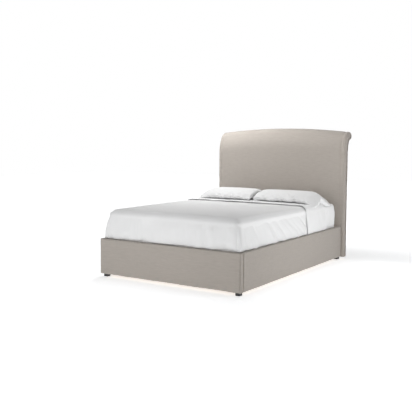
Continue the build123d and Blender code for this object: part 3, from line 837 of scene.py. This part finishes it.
def coverlet_folds(points, run, u, v):
    """How far the coverlet's face stands in or out of its smooth shape."""
    x, y, z = np.moveaxis(points, -1, 0)
    drop = COVERLET_TOP - z
    beside, ahead = np.abs(u), -v
    on_top = 1 - ease(run, 0.01, 0.10)
    side = ease(beside, 0.66, 0.80) * (1 - ease(ahead, 1.04, 1.10))
    foot = ease(ahead, 1.04, 1.16) * (1 - ease(beside, 0.68, 0.76))
    corner = ease(beside, 0.62, 0.70) * ease(ahead, 1.0, 1.08)
    lift = waves(x, y, (0.0035, 0.45, 0.40, 71)) * on_top
    lift = lift + waves(x + 0.5 * y, y - 0.4 * x, (0.0014, 0.30, 0.10, 72)) * on_top
    # one long diagonal crease across the top, near the right side
    right, up = x - DIAGONAL_X, y - DIAGONAL_Y
    across = up * math.cos(DIAGONAL) - right * math.sin(DIAGONAL)
    along = right * math.cos(DIAGONAL) + up * math.sin(DIAGONAL)
    ends = ease(along, -0.12, 0.10) * (1 - ease(along, 0.28, 0.42))
    lift -= 0.0100 * crease(across, 0.0, 0.030) * ends * on_top
    pulled = side * ease(drop, 0.020, 0.15)
    slanted = y - (0.25 + ease(y, -0.95, 0.10)) * drop
    lift += waves(slanted, drop, (0.0060, 0.060, 0.9, 73), (0.0034, 0.026, 0.5, 74)) * pulled
    for place, lean, depth in SIDE_CREASES:
        lift -= depth * crease(y - lean * drop, place, 0.020, 4.0) * pulled
    strong = 0.30 + 0.70 * ease(x, 0.15, 0.45)
    lift += waves(x, drop, (0.0120, 0.040, 0.9, 75)) * strong * foot * ease(drop, 0.03, 0.12)
    lift += waves(x + 0.5 * drop, drop, (0.0050, 0.11, 0.5, 76)) * foot * ease(drop, 0.02, 0.12)
    for place, width, depth in FOOT_GAPS:
        lift -= depth * bump(x, place, width) * foot * ease(drop, 0.19, 0.25)
    lift *= 1 - 0.6 * corner
    angle = np.arctan2(np.maximum(ahead - 1.0, 0), np.maximum(beside - 0.62, 1e-6))
    for place, depth in CORNER_PLEATS:
        lift -= depth * crease(angle, place, 0.06) * corner * ease(run, 0.09, 0.17)
    under_hem = 1 - ease(v, TURNED_HEM - 0.02, TURNED_HEM + 0.01)
    return lift * under_hem - 0.006 * bump(v, TURNED_HEM - 0.002, 0.012)


def coverlet():
    """The coverlet, with its loft, its folds and a rounded end under the turned-back sheet."""
    drape = Drape(COVER_HIGH.x, COVER_LOW.y - 0.011, np.inf, COVERLET_TOP, COVER_LOW.z - HEM_DROP,
                  0.062, 0.066, FLARE, TUCK)
    foot, reach = drape.inner_foot, drape.reach
    u, v = drape.grid(FINE, 0.016, (foot - reach, foot, int(reach / FINE)), (foot, TURNED_HEM - 0.04, 84),
                      (TURNED_HEM - 0.04, TURNED_HEM + 0.02, 16),
                      (TURNED_HEM + 0.02, COVER_HIGH.y - COVERLET_LOFT / 2, 16))
    smooth, run = drape.place(u, v)
    outward = -grid_normals(smooth)
    loft = COVERLET_LOFT - (COVERLET_LOFT - HEM_LOFT) * ease(run, reach - 0.10, reach - 0.01)
    folds = coverlet_folds(smooth, run, u, v)
    # the inner face follows the folds only near the hem, and the outer one stays clear of it
    back = np.minimum(folds, 0) * ease(run, reach - 0.10, reach - 0.02)
    folds = np.maximum(folds, back + 0.002 - loft)
    outer = smooth + outward * folds[..., None]
    inner = smooth + outward * (back - loft)[..., None]
    headward = unit(outer[-1] - outer[-2])
    turn = np.linspace(0, pi / 2, 6)[1:, None, None]
    half = loft[-1][:, None] / 2
    middle = outer[-1] - outward[-1] * half + headward * np.sin(turn) * half
    rise = outward[-1] * np.cos(turn) * half
    piece = quilted_shell("coverlet_cloth", np.concatenate([outer, middle + rise]),
                          np.concatenate([inner, middle - rise]))
    dress(piece, coverlet_cotton, "mattress", "coverlet_cotton", "coverlet")


def turned_edge(base, along, normal, radius, start, end, count):
    """Rows that turn round the edge row base, along being the way off the cloth: start and end are
    angles from the cloth's face, so 0 to pi wraps right round to its underside."""
    turn = np.linspace(start, end, count)[:, None, None]
    return base - normal * radius + radius * (np.sin(turn) * along + np.cos(turn) * normal)


def top_sheet():
    """The flat sheet, folded back over the coverlet's head end, with a narrow rolled hem."""
    drape = Drape(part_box("top_sheet")[1].x + 0.002, COVER_LOW.y, np.inf, COVERLET_TOP + TURNED_LIFT,
                  COVER_LOW.z - HEM_DROP, 0.063, 0.067, FLARE, TUCK)
    u, v = drape.grid(FINE, 0.014, (FOLD_Y - FOLD_RADIUS, TURNED_HEM + 0.07, 60),
                      (TURNED_HEM + 0.07, TURNED_HEM + HEM_RADIUS, 16))
    smooth, _ = drape.place(u, v)
    drop = COVERLET_TOP - smooth[..., 2]
    near_hem = 1 - ease(v, TURNED_HEM, TURNED_HEM + 0.08)
    smooth[..., 1] += waves(u, 0 * u, (0.005, 0.23, 1.0, 90)) * near_hem
    on_side = ease(drop, 0.02, 0.09)
    back = v - TURNED_HEM
    loose = 0.0085 + waves(u, 0 * u, (0.0030, 0.11, 1.0, 94)) - 0.0026 * on_side
    lift = loose * np.exp(-back / 0.034) - 0.0022 * bump(back, 0.021, 0.0035)
    lift += waves(u, v, (0.0016, 0.16, 0.07, 91)) + waves(u + 0.4 * v, v, (0.0007, 0.05, 0.03, 93))
    lift += waves(v - 0.2 * drop, drop, (0.0022, 0.055, 0.5, 92)) * on_side
    outer = smooth + grid_normals(smooth) * lift[..., None]
    normal = grid_normals(outer)
    headward = unit(outer[0] - outer[1])
    footward = unit(outer[-1] - outer[-2])
    fold = turned_edge(outer[0], headward, normal[0], FOLD_RADIUS, pi, 0, 15)[:-1]
    under = fold[0] - headward * np.linspace(0.05, 0, 6)[:-1, None, None]
    hem = turned_edge(outer[-1], footward, normal[-1], HEM_RADIUS, 0, pi, 9)[1:]
    tucked = hem[-1] - footward * np.linspace(0, 0.022, 4)[1:, None, None]
    grid = np.concatenate([under, fold, outer, hem, tucked])
    piece = grid_mesh("top_sheet_turned_back", grid, flip=True)
    solidify(piece, TURNED_CLOTH)
    dress(piece, sheet_cotton, "mattress", "sheet_cotton", "top_sheet")


fitted_sheet()
coverlet()
top_sheet()


# ---- pillows ------------------------------------------------------------------------------
class Envelope:
    """A pillowcase: two faces of the same grid that share their sewn edge."""

    def __init__(self, name, half_x, half_y, rise, step):
        xs = np.linspace(-half_x, half_x, int(2 * half_x / step) + 1)
        ys = np.linspace(-half_y, half_y, int(2 * half_y / step) + 1)
        x, y = np.meshgrid(xs, ys)
        self.upper = np.arange(x.size).reshape(x.shape)
        self.lower = self.upper.copy()
        inside = self.lower[1:-1, 1:-1]
        self.lower[1:-1, 1:-1] = x.size + np.arange(inside.size).reshape(inside.shape)
        z = rise * ((1 - (x / half_x) ** 2) * (1 - (y / half_y) ** 2)) ** 0.6
        top = np.stack([x, y, z], -1)
        points = np.concatenate([top.reshape(-1, 3), (top * (1, 1, -1))[1:-1, 1:-1].reshape(-1, 3)])
        quads = np.concatenate([grid_quads(self.upper), grid_quads(self.lower)[:, ::-1]])
        mesh = bpy.data.meshes.new(name)
        mesh.from_pydata(points.tolist(), [], quads.tolist())
        self.piece = as_piece(name, mesh)

    def points(self):
        flat = np.zeros(len(self.piece.data.vertices) * 3)
        self.piece.data.vertices.foreach_get("co", flat)
        return flat.reshape(-1, 3)

    def reshape(self, points):
        self.piece.data.vertices.foreach_set("co", points.ravel())
        self.piece.data.update()


def inflate(piece):
    """Blows the piece up as cloth, and leaves the simulated shape as its mesh."""
    made = piece.modifiers.new("inflate", "CLOTH")
    cloth = made.settings
    cloth.quality = 6
    cloth.mass = 0.25
    cloth.tension_stiffness = cloth.compression_stiffness = 18
    cloth.shear_stiffness = 8
    cloth.bending_stiffness = 0.35
    cloth.air_damping = 3
    cloth.use_pressure = True
    cloth.uniform_pressure_force = PILLOW_PRESSURE
    cloth.effector_weights.gravity = 0
    made.collision_settings.use_collision = False
    scene = bpy.context.scene
    scene.frame_start = 1
    scene.frame_end = PILLOW_FRAMES
    for step in range(1, PILLOW_FRAMES + 1):
        scene.frame_set(step)
    shaped = bpy.data.meshes.new_from_object(piece.evaluated_get(bpy.context.evaluated_depsgraph_get()))
    piece.modifiers.clear()
    piece.data = shaped
    scene.frame_set(1)


PILLOW_CELL = 0.0095
PILLOW_PRESSURE, PILLOW_FRAMES = 5.0, 24
PILLOW_SPARE = 0.020  # how much larger than the filled pillow its flat case is, each way
PILLOW_SEAM = 0.002  # how far the filled body lifts its seam's surroundings
PILLOW_SKIN = 0.003  # least thickness inside the seam
MEETING = 0.0035  # how far each pillow swells towards the other, past its CAD solid
STRAIGHTEN = 0.85  # share of the sides' pull-in that the filling pushes out again


def straightened(points, case):
    """Filled sides: blown up alone, they pull in much more between the corners."""
    for axis, line in ((0, 1), (1, 0)):
        for layer in (case.upper, case.lower):
            rows = np.moveaxis(points[layer, axis], line, 1)
            edge = (np.abs(rows[:, :1]) + np.abs(rows[:, -1:])) / 2
            rows = rows * (STRAIGHTEN / edge + (1 - STRAIGHTEN) / edge.max())
            points[layer, axis] = np.moveaxis(rows, 1, line)
    return points


def pillow_base(x, y):
    """Height of the bedding that a pillow lies on: turned-back sheet, then fitted sheet, then the
    slope over the mattress's edge."""
    top = COVERLET_TOP + TURNED_LIFT
    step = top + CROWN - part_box("fitted_sheet")[1].z
    base = top + 0.0015 + crown(x) - (step - 0.004) * ease(y, FOLD_Y - 0.03, FOLD_Y + 0.10)
    return base - 0.045 * ease(np.abs(x), 0.56, 0.74)


def pillow(side, seed):
    """Blown up as cloth, then laid on the mattress: its lower face flat, its seam low down."""
    low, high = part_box(f"pillow_{side}_case")
    size = high - low
    middle = (low + high) / 2
    case = Envelope(f"pillow_{side}_cotton", size.x / 2 + PILLOW_SPARE, size.y / 2 + PILLOW_SPARE, 0.03,
                    PILLOW_CELL)
    points = case.points()
    points[:, 2] += waves(points[:, 0], points[:, 1], (0.002, 0.03, 0.03, seed))
    case.reshape(points)
    inflate(case.piece)
    points = case.points()
    blown = np.clip(points[case.upper, 2] - points[case.lower, 2], 0, None)
    blown /= blown.max()
    points = straightened(points, case)
    reach = np.abs(points[:, :2]).max(axis=0)
    points[:, :2] *= np.array([size.x / 2 + MEETING / 2, size.y / 2 - 0.001]) / reach
    points[:, :2] += np.array([middle.x - math.copysign(MEETING / 2, middle.x), middle.y])
    x, y = points[case.upper, 0], points[case.upper, 1]
    inner_end = np.abs(x) < np.abs(middle.x)
    across = np.abs((x - middle.x) / (size.x / 2)) ** np.where(inner_end, 30, 6)
    deep = np.abs((y - middle.y) / (size.y / 2)) ** 2.5
    rounded = 1 - across - deep
    square = (1 - across) * (1 - deep)
    roll = np.where(inner_end, square, 0.7 * square + 0.3 * rounded)
    roll = np.clip(roll, 0, 1) ** np.where(y < middle.y, 0.68, 0.5)
    depth = (size.z - 0.004) * (0.84 * roll + 0.16 * blown ** 0.6 * roll)
    low_front = np.exp(-(y - low.y) / 0.090) * ease(depth, 0.008, 0.035)
    gathers = waves(x + 0.9 * y, y, (0.0100, 0.032, 0.04, seed + 3))
    depth += (gathers + waves(x - 0.8 * y, y, (0.0100, 0.018, 0.024, seed + 4))) * low_front
    depth += waves(x, y, (0.0016, 0.09, 0.11, seed + 6)) * ease(depth, 0.02, 0.06)
    depth = np.maximum(depth, PILLOW_SKIN)
    depth[[0, -1]] = 0
    depth[:, [0, -1]] = 0
    base = pillow_base(x, y) + PILLOW_SEAM * np.exp(-depth / 0.02)
    points[case.lower, 2] = base
    points[case.upper, 2] = base + depth
    case.reshape(points)
    smooth = case.piece.modifiers.new("smooth", "SUBSURF")
    smooth.levels = 1
    smooth.render_levels = 1
    dress(case.piece, pillow_cotton, f"pillow_{side}", "pillow_cotton", f"pillow_{side}_case",
          f"pillow_{side}_filling")


pillow("left", 81)
pillow("right", 82)


# ---- floor, light and camera --------------------------------------------------------------
LIGHTS = (
    # name, place, what it points at, size, power
    ("left_top", (-1.05, 0.5, 2.6), (-0.65, 0.93, 1.2), 0.6, 32),
    ("top", (0.0, 0.2, 3.6), (0.0, 0.0, 0.5), 2.0, 38),
    ("front", (-0.2, -3.0, 0.7), (-0.2, -1.1, 0.35), 1.0, 10),
    ("right", (2.4, -0.2, 0.8), (0.7, -0.2, 0.4), 0.8, 9),
)
SKY = {"From Min": 0.22, "From Max": 0.45, "To Min": 1.0, "To Max": 0.0}  # white low, dark overhead
FLOOR_GLOW = 0.60  # the floor's own light beside the bed
FLOOR_SIZE, FLOOR_POINTS, FLOOR_GAP = 30.0, 9, 0.0005
CAMERA_YAW, CAMERA_PITCH, CAMERA_ROLL = np.radians((33.090, 2.196, 0.283)).tolist()
CAMERA_PLACE = (3.2351, -5.4662, 1.1813)


def studio_floor():
    """A wide floor just under the feet."""
    steps = np.linspace(-FLOOR_SIZE / 2, FLOOR_SIZE / 2, FLOOR_POINTS)
    x, y = np.meshgrid(steps, steps)
    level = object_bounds()[0].z - FLOOR_GAP
    floor = grid_mesh("studio_floor", np.stack([x, y, np.full_like(x, level)], axis=-1))
    floor.data.materials.append(floor_material())
    floor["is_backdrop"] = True


def studio_light():
    """A sky that is white near the horizon, and four soft lights."""
    scene = bpy.context.scene
    world = bpy.data.worlds.new("studio")
    world.use_nodes = True
    tree = world.node_tree
    place = add_node(tree, "ShaderNodeTexCoord").outputs["Generated"]
    up = add_node(tree, "ShaderNodeSeparateXYZ", {0: place}).outputs[2]
    sky = add_node(tree, "ShaderNodeMapRange", {"Value": up, **SKY}, interpolation_type="SMOOTHSTEP")
    background = tree.nodes["Background"].inputs
    tree.links.new(sky.outputs[0], background["Strength"])
    background["Color"].default_value = (1, 1, 1, 1)
    scene.world = world
    scene.view_settings.view_transform = "Standard"
    for name, place, target, width, power in LIGHTS:
        data = bpy.data.lights.new(name, "AREA")
        data.size = width
        data.energy = power
        light = bpy.data.objects.new(name, data)
        light.location = place
        light.rotation_euler = (Vector(target) - Vector(place)).to_track_quat("-Z", "Y").to_euler()
        light.visible_camera = False
        scene.collection.objects.link(light)


def camera():
    """Low, ahead of the bed's right front corner, looking towards the headboard."""
    data = bpy.data.cameras.new("camera")
    data.sensor_width = 36
    data.lens = 57.6
    data.shift_y = -0.090
    made = bpy.data.objects.new("camera", data)
    aim = Matrix.Rotation(CAMERA_YAW, 4, "Z") @ Matrix.Rotation(pi / 2 - CAMERA_PITCH, 4, "X")
    made.matrix_world = Matrix.Translation(CAMERA_PLACE) @ aim @ Matrix.Rotation(CAMERA_ROLL, 4, "Z")
    bpy.context.scene.collection.objects.link(made)
    bpy.context.scene.camera = made


studio_floor()
studio_light()
camera()
